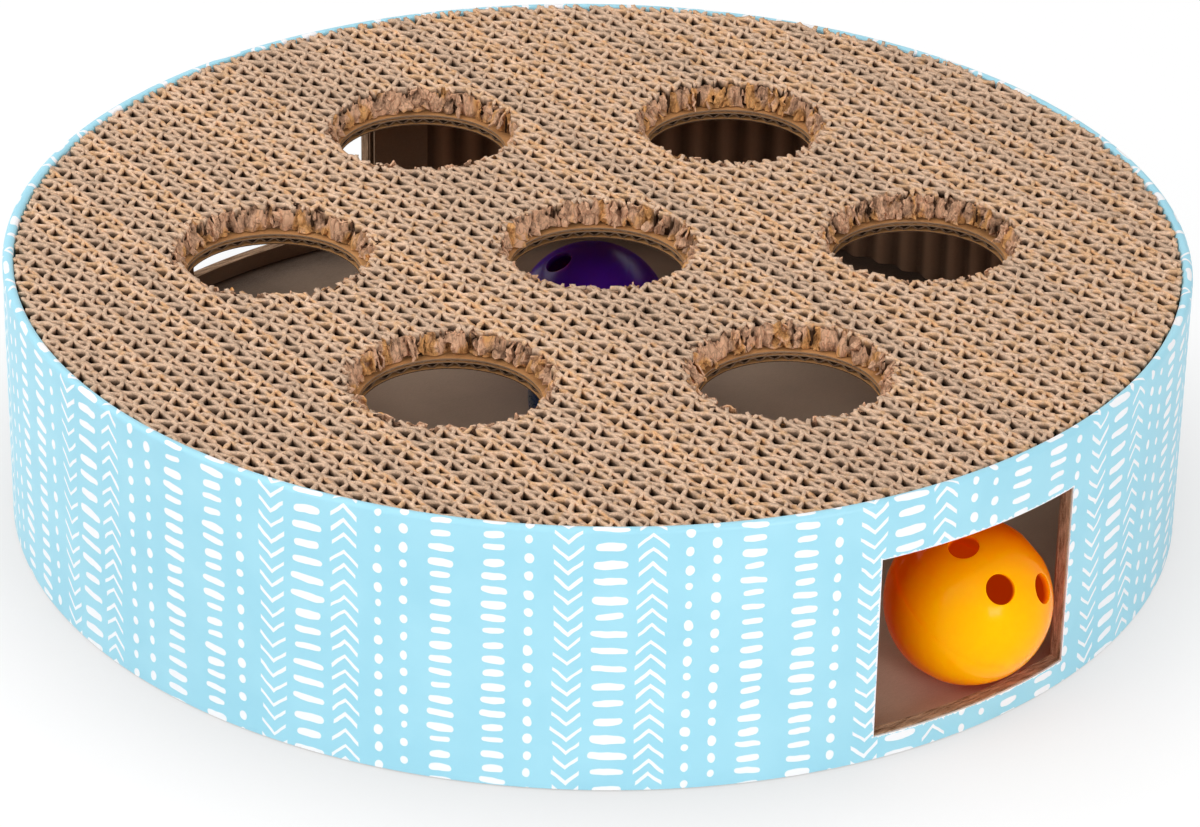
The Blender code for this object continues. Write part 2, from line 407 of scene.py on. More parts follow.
floor_kraft = kraft("floor_kraft", (0.666, 0.489, 0.357), (0.06, 0.04, 0.03), turn=0.4, shade_and_wear=painted_floor_shade)
wall_kraft = kraft("wall_kraft", (0.52, 0.315, 0.185), (0.36, 0.205, 0.115), turn=1.2)
lap_kraft = kraft("lap_kraft", (0.36, 0.24, 0.155), (0.27, 0.17, 0.11))
support_kraft = kraft("support_kraft", (0.64, 0.325, 0.125), (0.42, 0.20, 0.074), turn=0.9)

for node, finish in (("floor_board", floor_kraft), ("lap_strip", lap_kraft)):
    frame["nodes"][node].data.materials.clear()
    frame["nodes"][node].data.materials.append(finish)
print("kraft on floor and lap strip")

# %% [markdown]
# ## The print
#
# The wall is covered with pale blue paper, printed with white dashes, dots and chevrons in upright
# columns, as if brushed on by hand. An image could hold it, but sums on the surface give the same
# at any size. The way round the drum gives one coordinate, in millimetres of paper, and the height
# gives the other. On the rim the paper turns inwards, so the height goes on counting there.

# %% Paper coordinates
PRINT_REPEATS = 13
REPEAT = 2 * math.pi * DRUM_RADIUS / PRINT_REPEATS / MM
WOBBLE = 0.42
WOBBLE_SCALE = 240.0


def paper_coordinates(place):
    """Millimetres along a repeat, millimetres up the paper, and the repeat's number."""
    x, y, z = parts_of(place)
    turns = x.maths("ARCTAN2", y, x) / (2 * math.pi) * PRINT_REPEATS
    radius = span(x, y)
    number = turns.floor()
    around = (turns - number) * REPEAT
    up = (z + (DRUM_RADIUS - radius)) / MM
    shake = clouds(place, WOBBLE_SCALE, 1.0)
    shake_up = clouds(stretched(place, (1.0, 1.0, 1.0), 1.0), WOBBLE_SCALE, 1.0)
    return around + 2 * WOBBLE * (shake - 0.5), up + 2 * WOBBLE * (shake_up - 0.5), number


# %% [markdown]
# Each mark is a distance: less than zero is inside the stroke. A dash is a bar that thins out towards
# its ends, a dot is a circle, and a chevron is a line that follows the sideways distance up or down.
# Two random numbers for each mark make it longer, thicker, higher or more tilted than the next, as a
# brush would.

# %% Marks
SOFT_EDGE = 0.16
DASH = {"half_length": 3.1, "half_height": 0.92, "rows": 3.75}
WIDE_DASH = {"half_length": 4.3, "half_height": 1.02, "rows": 4.75}
DOT = {"half_length": 1.2, "half_height": 1.2, "rows": 4.9}
CHEVRON_HALF, CHEVRON_SLOPE, CHEVRON_STROKE, CHEVRON_ROWS = 3.4, 0.9, 0.55, 4.1
RAGGED, TILT, TAPER = 0.16, 0.16, 0.3
BAR_LENGTHS, BAR_HEIGHTS = (0.84, 1.16), (0.8, 1.2)
STROKES, CHEVRON_REACHES = (0.85, 1.15), (0.9, 1.1)
ROW_SEED, REPEAT_SEED, COLUMN_SEED, SECOND_DRAW = 7.31, 31.7, 3.97, 0.37


def row_of(up, rows, phase):
    """Height within a row, counted from its middle, and the row's number."""
    count = up / rows + phase
    number = count.floor()
    return (count - number - 0.5) * rows, number


def brush_random(row, repeat, column):
    """Two numbers from 0 to 1 for each mark."""
    seeds = [row * ROW_SEED + repeat * REPEAT_SEED + draw * COLUMN_SEED
             for draw in (column, column + SECOND_DRAW)]
    return [row.node("ShaderNodeTexWhiteNoise", {"noise_dimensions": "1D"}, {"W": seed}) for seed in seeds]


def varied(draw, least, most):
    """A share between two others, by a random number."""
    return least + (most - least) * draw


def bar(sideways, up, repeat, column, phase, half_length, half_height, rows):
    """Distance to a column of brushed bars."""
    height, row = row_of(up, rows, phase)
    first, second = brush_random(row, repeat, column)
    length = half_length * varied(first, *BAR_LENGTHS)
    end = abs(sideways) / length
    thick = half_height * varied(second, *BAR_HEIGHTS) * (1 - TAPER * end * end)
    height = height + RAGGED * rows * (second - 0.5) + TILT * (first - 0.5) * sideways
    beyond = (abs(sideways) - (length - half_height).most(0.0)).most(0.0)
    return span(beyond, height) - thick


def chevron(sideways, up, repeat, column, phase, way):
    """Distance to a column of chevrons that point up or down."""
    reach = abs(sideways)
    height, row = row_of(up + way * CHEVRON_SLOPE * reach, CHEVRON_ROWS, phase)
    first, second = brush_random(row, repeat, column)
    height = height + RAGGED * CHEVRON_ROWS * (second - 0.5)
    stroke = CHEVRON_STROKE * varied(first, *STROKES)
    return (abs(height) - stroke).most(reach - CHEVRON_HALF * varied(second, *CHEVRON_REACHES))


# %% [markdown]
# The columns stand in an order of our own: a dash, dots, chevrons down, a wide dash, chevrons up,
# dots twice, and a dash again. The white marks are then laid over the blue, with a little unevenness
# in the ink and a satin surface. Beside the windows the knife has torn a fine ragged line of the print
# away, and the white of the paper shows there too.

# %% Printed finish
# The middle of each column in millimetres, its mark, and how far its rows are shifted.
COLUMNS = (
    (5.0, "dash", 0.15), (13.2, "dot", 0.60), (22.4, "down", 0.00), (32.2, "wide", 0.40),
    (42.0, "up", 0.35), (50.6, "dot", 0.20), (57.0, "dot", 0.75), (66.0, "dash", 0.55),
)
PRINT_BLUE, PRINT_BLUE_DEEP = (0.385, 0.725, 0.85), (0.34, 0.68, 0.815)
INK_WHITE = (0.93, 0.93, 0.945)
INK_CLOUDS = 60.0
PAPER_GRAIN, PAPER_LIFT = 900.0, 0.05 * MM
TORN_EDGE, TORN_SCALE, TORN_SOFT = 0.9 * MM, 700.0, 0.05 * MM


def torn_print(place):
    """1 where the print is torn away beside a window."""
    x, _, z = parts_of(place)
    beside = (abs(x) - WINDOW_WIDTH / 2).most(WINDOW_SILL - z).most(z - WINDOW_HEAD)
    ragged = TORN_EDGE * clouds(place, TORN_SCALE, 3.0, 0.7).between(0.35, 0.75)
    return (ragged - beside).between(-TORN_SOFT, TORN_SOFT)


def printed_finish():
    material, start = new_material("blue_print", Roughness=0.42, Specular_IOR_Level=0.4)
    place = object_place(start)
    around, up, repeat = paper_coordinates(place)
    nearest = None
    for number, (middle, kind, phase) in enumerate(COLUMNS):
        sideways = around - middle
        if kind in ("up", "down"):
            distance = chevron(sideways, up, repeat, number, phase, 1.0 if kind == "up" else -1.0)
        else:
            sizes = {"dash": DASH, "wide": WIDE_DASH, "dot": DOT}[kind]
            distance = bar(sideways, up, repeat, number, phase, **sizes)
        nearest = distance if nearest is None else nearest.least(distance)
    ink = (0.5 - nearest / SOFT_EDGE).held().most(torn_print(place))
    tone = clouds(place, INK_CLOUDS, 3.0)
    blue = tone.between(0.3, 0.7).blend(colour(*PRINT_BLUE_DEEP), colour(*PRINT_BLUE))
    wire(material, Base_Color=ink.blend(blue, colour(*INK_WHITE)),
         Normal=bumped(start, clouds(place, PAPER_GRAIN, 2.0), 0.12, PAPER_LIFT))
    return material


blue_print = printed_finish()
print(f"print: {PRINT_REPEATS} repeats of {REPEAT:.1f} mm, {len(blue_print.node_tree.nodes)} nodes")

# %% [markdown]
# Where the paper is cut it shows its white core. The core is a material of its own: the bar that cuts
# the windows wears it, and the Boolean hands it on to the faces that it makes.

# %% White core of the paper
CORE_GRAIN = 1500.0


def core_finish():
    material, start = new_material("paper_core", Roughness=0.8)
    grain = clouds(object_place(start), CORE_GRAIN, 2.0)
    wire(material, Base_Color=grain.blend(colour(0.70, 0.70, 0.69), colour(0.92, 0.92, 0.92)))
    return material


paper_core = core_finish()
print("white core:", paper_core.name)

# %% [markdown]
# ## The printed paper
#
# The sheet goes up the wall, over the rim and down behind it. It is turned from its outline with its
# own thickness, its rim edges are rounded, and both windows are cut with one long bar.

# %% Printed paper
RIM_TOP = DRUM_HEIGHT - 0.8 * MM
RIM_BEVEL = 1.3 * MM
RIM_SEGMENTS = 5
TURN_IN_INSIDE = LINER_OUTSIDE - PAPER
TUCK = LINER_TOP + 0.3 * MM


def cut_windows(piece, finish, foot, top, width=WINDOW_WIDTH, operation="DIFFERENCE"):
    """Cuts both sides with a bar along Y, as wide as the windows unless told. It hands on its finish."""
    cutter = started("window_bar", "cube", size=1, location=(0, 0, (foot + top) / 2),
                     scale=(width, 3 * DRUM_RADIUS, top - foot))
    cutter.data.materials.append(finish)
    cut(piece, cutter, operation)
    remove(cutter)


def printed_paper():
    inside = DRUM_RADIUS - PAPER
    under = RIM_TOP - PAPER
    outline = [(inside, PAPER_FOOT), (DRUM_RADIUS, PAPER_FOOT), (DRUM_RADIUS, RIM_TOP),
               (TURN_IN_INSIDE, RIM_TOP), (TURN_IN_INSIDE, TUCK), (LINER_OUTSIDE, TUCK),
               (LINER_OUTSIDE, under), (inside, under)]
    paper = turned("printed_wrap", outline)
    paper.data.materials.append(blue_print)
    edit(paper, "DESELECT")
    bpy.ops.mesh.select_mode(type="EDGE")
    leave_edit()
    for edge in paper.data.edges:
        ends = [paper.data.vertices[index].co for index in edge.vertices]
        edge.select = all(end.z > RIM_TOP - MERGE for end in ends) and (
            abs(ends[0].to_2d().length - ends[1].to_2d().length) < MERGE)
    pick(paper)
    bpy.ops.object.mode_set(mode="EDIT")
    bpy.ops.mesh.bevel(offset=RIM_BEVEL, segments=RIM_SEGMENTS, affect="EDGES")
    leave_edit()
    cut_windows(paper, paper_core, WINDOW_SILL, WINDOW_HEAD)
    smooth(paper, 40)
    seat(paper, "box", "blue_print", "printed_paper")


printed_paper()

# %% [markdown]
# ## The wall board
#
# The board behind the print is turned in the same way and ends just under the paper's rim. Where the
# knife went through board and liner, their edges are torn together: posts and a sill as deep as both,
# a hair narrower than the window, with the fibres of a torn edge. At the back window the sill was left
# a little higher.

# %% Torn edge of the windows
ROUGH_SCALE, ROUGH_FLECK, ROUGH_LIFT = (190.0, 1300.0, 190.0), 2300.0, 0.5 * MM


def rough_finish():
    material, start = new_material("rough_edge", Specular_IOR_Level=0.1)
    place = object_place(start)
    tear = clouds(stretched(place, ROUGH_SCALE), 1.0, 3.0, 0.65)
    fleck = clouds(place, ROUGH_FLECK, 2.0)
    shade = (0.8 * tear + 0.2 * fleck).between(0.34, 0.64)
    wire(material, Base_Color=shade.blend(colour(0.17, 0.093, 0.05), colour(0.60, 0.385, 0.245)),
         Roughness=0.8 + 0.15 * fleck, Normal=bumped(start, tear + 0.4 * fleck, 0.8, ROUGH_LIFT))
    return material


rough_edge = rough_finish()
print("torn edge:", rough_edge.name)

# %% [markdown]
# The ring and the torn edges are cut with the same kind of bar, of other widths. An Intersect keeps
# only the posts and the sill of the second ring, and a Difference then opens it.

# %% Wall board
PAPER_GAP = 0.1 * MM
WALL_TOP = RIM_TOP - PAPER - PAPER_GAP
WALL_OUTSIDE = DRUM_RADIUS - PAPER - PAPER_GAP
SILL_DEPTH = 1.4 * MM
BACK_SILL = 2.1 * MM
POST, LIP = 2.0 * MM, 0.25 * MM


def wall_board():
    ring = band("wall_ring", LINER_OUTSIDE, WALL_OUTSIDE, 0.0, WALL_TOP, wall_kraft)
    cut_windows(ring, rough_edge, WINDOW_SILL, WINDOW_HEAD)
    edges = band("window_edges", LINER_OUTSIDE - SILL_DEPTH, WALL_OUTSIDE,
                 LINER_FOOT, WINDOW_HEAD, rough_edge)
    cut_windows(edges, rough_edge, 0.0, 2 * WINDOW_HEAD, WINDOW_WIDTH + 2 * POST, "INTERSECT")
    cut_windows(edges, rough_edge, WINDOW_SILL + LIP, 2 * WINDOW_HEAD, WINDOW_WIDTH - 2 * LIP)
    for vertex in edges.data.vertices:
        if vertex.co.y > 0 and WINDOW_SILL < vertex.co.z < WINDOW_SILL + 2 * LIP:
            vertex.co.z += BACK_SILL
    # The faces of the torn edges that look into the box get the lap strip's darker brown, which paints the
    # shade inside the box.
    edges.data.materials.append(lap_kraft)
    for face in edges.data.polygons:
        face.material_index = int(face.normal.to_2d().dot(face.center.to_2d().normalized()) < -0.5)
    board = joined("wall_ring", [ring, edges])
    smooth(board, 40)
    seat(board, "box", "wall_kraft", "wall_board")


wall_board()

# %% [markdown]
# ## The fluted liner
#
# Inside the wall stands single-faced board: a flat sheet against the wall, and a waved one glued to it,
# with its flutes upright. A circle with eight points to a flute is drawn into the wave, extruded upwards
# and made a sheet by Solidify. A turned ring is its flat face. The crests of the flutes are rubbed pale,
# and the troughs between them are darkened with painted shade. At the windows the torn edges take the
# liner's place.

# %% Fluted liner
LINER_FLUTES = 114
POINTS_A_FLUTE = 8
LINER_SHEET = 0.45 * MM
FLUTE_DEPTH = 1.95 * MM
FLUTE_START = 0.5
FLUTE_FOOT = LINER_OUTSIDE - 1.6 * LINER_SHEET
ROUNDING = 1 / 14


def crest_wear_trough_shade(place):
    """1 on the crest of a flute, worn pale, and 0 in the trough between two, painted with shade."""
    x, y, _ = parts_of(place)
    return 1 - span(x, y).between(FLUTE_FOOT - FLUTE_DEPTH, FLUTE_FOOT - 0.25 * FLUTE_DEPTH)


# The dark brown is the painted shade in the troughs.
liner_kraft = kraft("liner_kraft", (0.47, 0.285, 0.175), (0.12, 0.068, 0.04), turn=1.57, shade_and_wear=crest_wear_trough_shade)


def flute_wave(turns):
    """A rounded zigzag from -1 to 1, once for each whole turn."""
    angle = 2 * math.pi * turns
    return (math.cos(angle) + ROUNDING * math.cos(3 * angle)) / (1 + ROUNDING)


def waved_wall(name, radius, foot, top):
    """An upright sheet round the drum, waved in and out."""
    steps = LINER_FLUTES * POINTS_A_FLUTE
    sheet = started(name, "circle", vertices=steps, radius=radius, location=(0, 0, foot))
    for vertex in sheet.data.vertices:
        turns = math.atan2(vertex.co.y, vertex.co.x) / (2 * math.pi)
        reach = radius + FLUTE_DEPTH / 2 * flute_wave(turns * LINER_FLUTES + FLUTE_START)
        vertex.co.xy = vertex.co.xy.normalized() * reach
    edit(sheet)
    bpy.ops.mesh.extrude_region_move(TRANSFORM_OT_translate={"value": (0, 0, top - foot)})
    bpy.ops.mesh.select_all(action="SELECT")
    bpy.ops.mesh.normals_make_consistent(inside=False)
    leave_edit()
    apply_modifier(sheet, "SOLIDIFY", thickness=LINER_SHEET, offset=0.0)
    return sheet


def fluted_liner():
    backing = band("liner_face", LINER_OUTSIDE - LINER_SHEET, LINER_OUTSIDE,
                   LINER_FOOT, LINER_TOP, liner_kraft)
    medium = waved_wall("liner_medium", FLUTE_FOOT - FLUTE_DEPTH / 2, LINER_FOOT, LINER_TOP)
    medium.data.materials.append(liner_kraft)
    for sheet in (backing, medium):
        cut_windows(sheet, liner_kraft, 0.0, WINDOW_HEAD)
    liner = joined("flute_lining", [backing, medium])
    smooth(liner, 50)
    seat(liner, "box", "liner_kraft", "fluted_liner")


fluted_liner()

# %% [markdown]
# ## The scratching pad
#
# The pad is corrugated board cut into strips, set on edge and glued side by side. Each strip is
# double-walled: a flat sheet, a large wave, a flat sheet and a small wave. From above, the cut edges
# draw rows of triangles. A bump could hint at them, but the cells are deep and the paw holes cut
# through them, so the sheets are made one by one.
#
# Each sheet is drawn as a line from above. First come the sums that say where the pad ends: at its
# round edge and at the holes, with a little torn away here and there. Near a hole the punch has also
# crushed the paper, which pushes the points about.

# %% Torn outline of the pad
POKE_OUT = 0.45 * MM
FRAY, FRAY_SCALE = 0.75 * MM, 420.0
CRUSH, CRUSH_REACH, CRUSH_SCALE, CRUSH_LAYERS = 1.3 * MM, 3.2 * MM, 310.0, (3.0, 9.0)
HALVINGS = 7


def level_way(angle):
    """The level way at an angle from the X axis."""
    return Vector((math.cos(angle), math.sin(angle)))


def soft_noise(point, scale, layer=0.0):
    """A smooth number from about -1 to 1 that depends only on the place."""
    return noise.noise(Vector((point.x * scale, point.y * scale, layer)))


def hole_room(point):
    return min((point - hole).length for hole in holes) - HOLE_RADIUS


def pad_room(point):
    """How far a point lies inside the pad's torn outline."""
    room = min(PAD_RADIUS + POKE_OUT - point.length, hole_room(point))
    return room - FRAY * max(0.0, soft_noise(point, FRAY_SCALE))


def crushed(point):
    """Pushes a point about where the punch has crushed the paper beside a hole."""
    near = 1 - min(1.0, max(0.0, hole_room(point)) / CRUSH_REACH)
    push = Vector([soft_noise(point, CRUSH_SCALE, layer) for layer in CRUSH_LAYERS])
    return point + push * CRUSH * near


def torn_end(inside, outside):
    """The point between two others where the pad ends."""
    for _ in range(HALVINGS):
        middle = (inside + outside) / 2
        if pad_room(middle) > 0:
            inside = middle
        else:
            outside = middle
    return inside


def runs_of(line):
    """Splits a line of points into the runs that lie on the pad."""
    runs, run, before = [], [], None
    for point in line:
        if pad_room(point) > 0:
            if not run and before is not None:
                run.append(torn_end(point, before))
            run.append(point)
        elif run:
            run.append(torn_end(run[-1], point))
            runs.append(run)
            run = []
        before = point
    return [[crushed(point) for point in run] for run in runs if len(run) > 2]


# %% [markdown]
# A strip has four sheets, given by where each lies across the strip and how far it swings. Their lines
# are cut where they leave the pad, and become the splines of a flat curve. An extruded curve turned
# into a mesh is a row of upright ribbons, and Solidify gives the paper its thickness.

# %% Lines of the strips
STRIP_PITCH = 6.55 * MM
LARGE_LAYER = 3.9 * MM
LARGE_FLUTE, SMALL_FLUTE = 8.7 * MM, 6.4 * MM
PAD_TURN = math.radians(-3.4)
ACROSS = level_way(PAD_TURN)
ALONG = Vector((-ACROSS.y, ACROSS.x))
FLAT_STEP = 1.3 * MM
WAVE_POINTS = 8
LINE_END = 4 * MM
STEEP = 1.7
PITCH_SPREAD = (0.97, 1.03)
DRIFT, DRIFT_SCALE, DRIFT_LAYER = 0.22 * MM, 60.0, 5.0
SWING_ROOM = 0.6 * MM
LARGE_SWING = (LARGE_LAYER - SWING_ROOM) / 2
SMALL_SWING = (STRIP_PITCH - LARGE_LAYER - SWING_ROOM) / 2
# Each sheet's place across the strip, the step of its points and, if it is waved, its swing and pitch.
LAYERS = {
    "joints": (0.0, FLAT_STEP),
    "large": (LARGE_LAYER / 2, LARGE_FLUTE / WAVE_POINTS, LARGE_SWING, LARGE_FLUTE),
    "faces": (LARGE_LAYER, FLAT_STEP),
    "small": ((LARGE_LAYER + STRIP_PITCH) / 2, SMALL_FLUTE / WAVE_POINTS, SMALL_SWING, SMALL_FLUTE),
}
rng = random.Random(11)


def pressed_wave(turns):
    """A wave from -1 to 1 with flat crests and steep legs, as pressed flutes have."""
    return math.tanh(STEEP * math.cos(2 * math.pi * turns)) / math.tanh(STEEP)


def sheet_line(offset, step, swing=0.0, pitch=1.0):
    """The points of one sheet, at an offset across the pad, waved if it has a swing."""
    start = rng.random()
    stretch = pitch * rng.uniform(*PITCH_SPREAD)
    count = round(2 * (PAD_RADIUS + LINE_END) / step)
    line = []
    for number in range(count + 1):
        along = (number - count / 2) * step
        sideways = offset
        if swing:
            sideways += swing * pressed_wave(along / stretch + start)
        point = ACROSS * sideways + ALONG * along
        drift = DRIFT * soft_noise(point, DRIFT_SCALE, DRIFT_LAYER)
        line.append(point + ACROSS * drift)
    return line


strips = math.ceil(PAD_RADIUS / STRIP_PITCH)
lines = {kind: [] for kind in LAYERS}
for strip in range(-strips, strips + 1):
    for kind, (offset, *wave) in LAYERS.items():
        lines[kind] += runs_of(sheet_line(strip * STRIP_PITCH + offset, *wave))
print("runs of paper:", {kind: len(runs) for kind, runs in lines.items()})

# %% [markdown]
# The paper of the pad is paler along its cut edge, where the knife has roughed it up, and below it the
# walls of the cells are painted dark brown with shade. Each strip comes from another sheet, so each has its
# own tint, and here and there the glue has turned the paper orange. The pad sags: its rim lies higher than
# its middle, and most at the back. One sum gives that height to the mesh and to the finish alike.

# %% Pad paper
PAD_BLOTCHES, PAD_GLUE, PAD_MOTTLE, PAD_FLECK = 180.0, 330.0, 950.0, 2400.0
PAD_ROUGH = 0.2 * MM
EDGE_DEPTH, EDGE_SHAKE = 2.0 * MM, 0.5 * MM
RIM_LIFT, RIM_TILT = 0.9 * MM, 0.9 * MM
HIGH_SIDE = math.radians(30)


def sag(x, y):
    """How much higher the pad's top lies at a place than in its middle."""
    reach = (x * x + y * y) / PAD_RADIUS ** 2
    tilt = (x * math.cos(HIGH_SIDE) + y * math.sin(HIGH_SIDE)) / PAD_RADIUS
    return reach * (RIM_LIFT * reach + RIM_TILT * tilt)


def pad_finish(name, edge_pale, edge_warm, cell_shade):
    material, start = new_material(name, Specular_IOR_Level=0.15)
    place = object_place(start)
    x, y, z = parts_of(place)
    sideways = x * ACROSS.x + y * ACROSS.y
    strip = (sideways / STRIP_PITCH).floor()
    tint = start.node("ShaderNodeTexWhiteNoise", {"noise_dimensions": "1D"}, {"W": strip})
    blotches = clouds(place, PAD_BLOTCHES, 3.0)
    mottle = clouds(place, PAD_MOTTLE, 2.0)
    fleck = clouds(place, PAD_FLECK, 2.0)
    warm = (clouds(place, PAD_GLUE, 2.0) + 0.22 * (tint - 0.5)).between(0.50, 0.66)
    edge = warm.blend(colour(*edge_pale), colour(*edge_warm))
    shade = (0.83 + 0.3 * (blotches - 0.5) + 0.2 * (tint - 0.5)
             + 0.7 * (mottle - 0.5) + 0.7 * (fleck - 0.5))
    # Below the pale top edge the paper turns to the last colour given, which is painted shade in the cells.
    level = z - sag(x, y) + EDGE_SHAKE * (mottle - 0.5)
    top = level.between(PAD_TOP - EDGE_DEPTH, PAD_TOP - 0.1 * EDGE_DEPTH)
    paper = top.blend(colour(*cell_shade), edge)
    grey = start.node("ShaderNodeCombineColor", {}, {0: shade, 1: shade, 2: shade})
    toned = start.node("ShaderNodeMix", {"data_type": "RGBA", "blend_type": "MULTIPLY"},
                       {0: 1.0, 6: paper, 7: grey}, out=2)
    wire(material, Base_Color=toned, Roughness=0.82 + 0.15 * fleck,
         Normal=bumped(start, fleck, 0.5, PAD_ROUGH))
    return material


# The last colour of each paper is the painted shade deep in its cells.
joint_paper = pad_finish("pad_joint_paper", (0.87, 0.57, 0.38), (0.83, 0.465, 0.23), (0.07, 0.036, 0.018))
flute_paper = pad_finish("pad_flute_paper", (0.88, 0.605, 0.42), (0.81, 0.50, 0.285), (0.075, 0.039, 0.02))
print("pad papers:", joint_paper.name, flute_paper.name)

# %% [markdown]
# The ribbons get one more row of points just under their top edge. That lets the edge spread and
# fray: a cloud texture moves the points a little, and Solidify makes the edge thicker than the wall
# below it, as a knife leaves it.

# %% Ribbons
SPREAD_DEPTH = 0.9 * MM
WALL_SHARE, WALL_FRINGE = 0.4, 0.35
FRINGE, FRINGE_SIZE = 1.1 * MM, 1.8 * MM
KNOT_MIDDLE, KNOT_SWING, KNOT_SCALE = 0.7, 0.45, 560.0


def fray_texture():
    texture = bpy.data.textures.new("paper_fray", "CLOUDS")
    texture.cloud_type = "COLOR"
    texture.noise_scale = FRINGE_SIZE
    return texture


paper_fray = fray_texture()


def ribbons(name, runs, thickness, finish):
    """Upright paper along the runs, from the pad's foot to its top."""
    curve = bpy.data.curves.new(name, "CURVE")
    curve.dimensions = "2D"
    curve.fill_mode = "NONE"
    curve.extrude = (PAD_TOP - PAD_FOOT) / 2
    for run in runs:
        spline = curve.splines.new("POLY")
        spline.points.add(len(run) - 1)
        for knot, point in zip(spline.points, run):
            knot.co = (point.x, point.y, 0.0, 1.0)
    piece = placed(name, curve)
    piece.location.z = (PAD_TOP + PAD_FOOT) / 2
    pick(piece)
    bpy.ops.object.convert(target="MESH")
    piece = named(bpy.context.object, name)
    bpy.ops.object.transform_apply(location=True)
    edit(piece)
    bpy.ops.mesh.bisect(plane_co=(0, 0, PAD_TOP - SPREAD_DEPTH), plane_no=(0, 0, 1))
    leave_edit()
    edge = piece.vertex_groups.new(name="edge")
    fringe = piece.vertex_groups.new(name="fringe")
    for vertex in piece.data.vertices:
        on_top = vertex.co.z > PAD_TOP - 0.1 * SPREAD_DEPTH
        knots = KNOT_MIDDLE + KNOT_SWING * noise.noise(vertex.co * KNOT_SCALE)
        edge.add([vertex.index], knots if on_top else WALL_SHARE, "REPLACE")
        fringe.add([vertex.index], 1.0 if on_top else WALL_FRINGE, "REPLACE")
    apply_modifier(piece, "DISPLACE", texture=paper_fray, texture_coords="LOCAL", strength=FRINGE,
                   direction="RGB_TO_XYZ", vertex_group="fringe")
    apply_modifier(piece, "SOLIDIFY", thickness=thickness, offset=0.0, vertex_group="edge")
    for vertex in piece.data.vertices:
        share = (vertex.co.z - PAD_FOOT) / (PAD_TOP - PAD_FOOT)
        vertex.co.z += share * sag(vertex.co.x, vertex.co.y)
    piece.data.materials.append(finish)
    smooth(piece, 180)
    seat(piece, "scratching_top", "pad_kraft", "scratch_pad")


# The name of each piece, its lines, the thickness of its top edge in millimetres, and its paper.
RIBBONS = (
    ("pad_joint_sheets", "joints", 1.6, joint_paper), ("pad_face_sheets", "faces", 1.4, flute_paper),
    ("pad_large_flutes", "large", 1.55, flute_paper), ("pad_small_flutes", "small", 1.25, flute_paper),
)
for name, kind, paper_mm, finish in RIBBONS:
    ribbons(name, lines[kind], paper_mm * MM, finish)

# %% [markdown]
# ## Torn paper in the paw holes
#
# A blunt punch tears the strips, so the wall of each hole is a fringe of crumpled flaps. Each point of a
# flap keeps how far it stands out, as an attribute that the finish reads: the folds are painted dark with
# shade and the ridges pale with painted light. Fine creases lie where a noise passes its middle value,
# painted as dark lines of shade, and near the foot, where glue has soaked the paper, it is more orange.

# %% Torn paper
RIDGE = "ridge"
SOAK, SOAK_SCALE = 3.5 * MM, (230.0, 230.0, 60.0)
TEAR_SCALE, TEAR_FLECK, TEAR_LIFT = (1500.0, 1500.0, 330.0), 1900.0, 0.5 * MM
WRINKLE_SCALE, WRINKLE_TURN = (620.0, 620.0, 320.0), 0.6


def torn_finish():
    material, start = new_material("torn_kraft", Specular_IOR_Level=0.15)
    place = object_place(start)
    fleck = clouds(place, TEAR_FLECK, 2.0)
    ridge = start.node("ShaderNodeAttribute", {"attribute_name": RIDGE}, out="Fac")
    fibres = clouds(stretched(place, TEAR_SCALE), 1.0, 3.0, 0.65)
    wrinkles = clouds(stretched(place, WRINKLE_SCALE, WRINKLE_TURN), 1.0, 2.0)
    crease = abs(wrinkles - 0.5).between(0.0, 0.075)
    # The ridge attribute paints shade in the folds and light on the ridges, and the creases are painted
    # dark lines of shade.
    shade = (0.45 * ridge + 0.4 * fibres + 0.15 * fleck).between(0.33, 0.62) * (0.6 + 0.4 * crease)
    brown = shade.blend(colour(0.035, 0.015, 0.007), colour(0.79, 0.465, 0.29))
    low = 1 - parts_of(place)[2].between(PAD_FOOT, PAD_FOOT + SOAK)
    soaked = clouds(stretched(place, SOAK_SCALE), 1.0, 1.0) + 0.13 * low
    amber = shade.blend(colour(0.10, 0.036, 0.01), colour(0.78, 0.40, 0.15))
    glue = soaked.between(0.56, 0.66)
    wire(material, Base_Color=glue.blend(brown, amber),
         Roughness=0.8 + 0.15 * fleck, Normal=bumped(start, fibres + 0.3 * fleck, 0.8, TEAR_LIFT))
    return material


torn_kraft = torn_finish()
print("torn paper:", len(torn_kraft.node_tree.nodes), "nodes")

# %% [markdown]
# A flap is a small grid of points, folded along its middle and crumpled by noise. A wide, flat flap
# bends less than a narrow one.

# %% One flap
FLAP_ROWS, FLAP_COLUMNS = 6, 5
CRUMPLE, CRUMPLE_SCALE, CRUMPLE_UPRIGHT = 2.4 * MM, 700.0, 0.6
CRUMPLE_SIDE, SIDE_FINER = 0.5 * CRUMPLE, 1.7
CRUMPLE_RISE, RISE_FINER = 0.45 * CRUMPLE, 2.3
TWIST, FOLD, FLAT_EASE = 0.9, 1.2, 0.7
RIDGE_SPAN = 1.4 * CRUMPLE
REACH_MM, TOP_MM, FOOT_MM, LEAN_MM = (0.0, 1.3), (-1.4, 0.2), (-0.3, 1.4), (0.5, 2.6)


def grid_faces(rows, columns, closed=False):
    """Faces of a grid of points. In a closed grid the last column meets the first."""
    faces = []
    for row in range(rows):
        for column in range(columns if closed else columns - 1):
            first, second = row * columns + column, row * columns + (column + 1) % columns
            faces.append((first, second, second + columns, first + columns))
    return faces


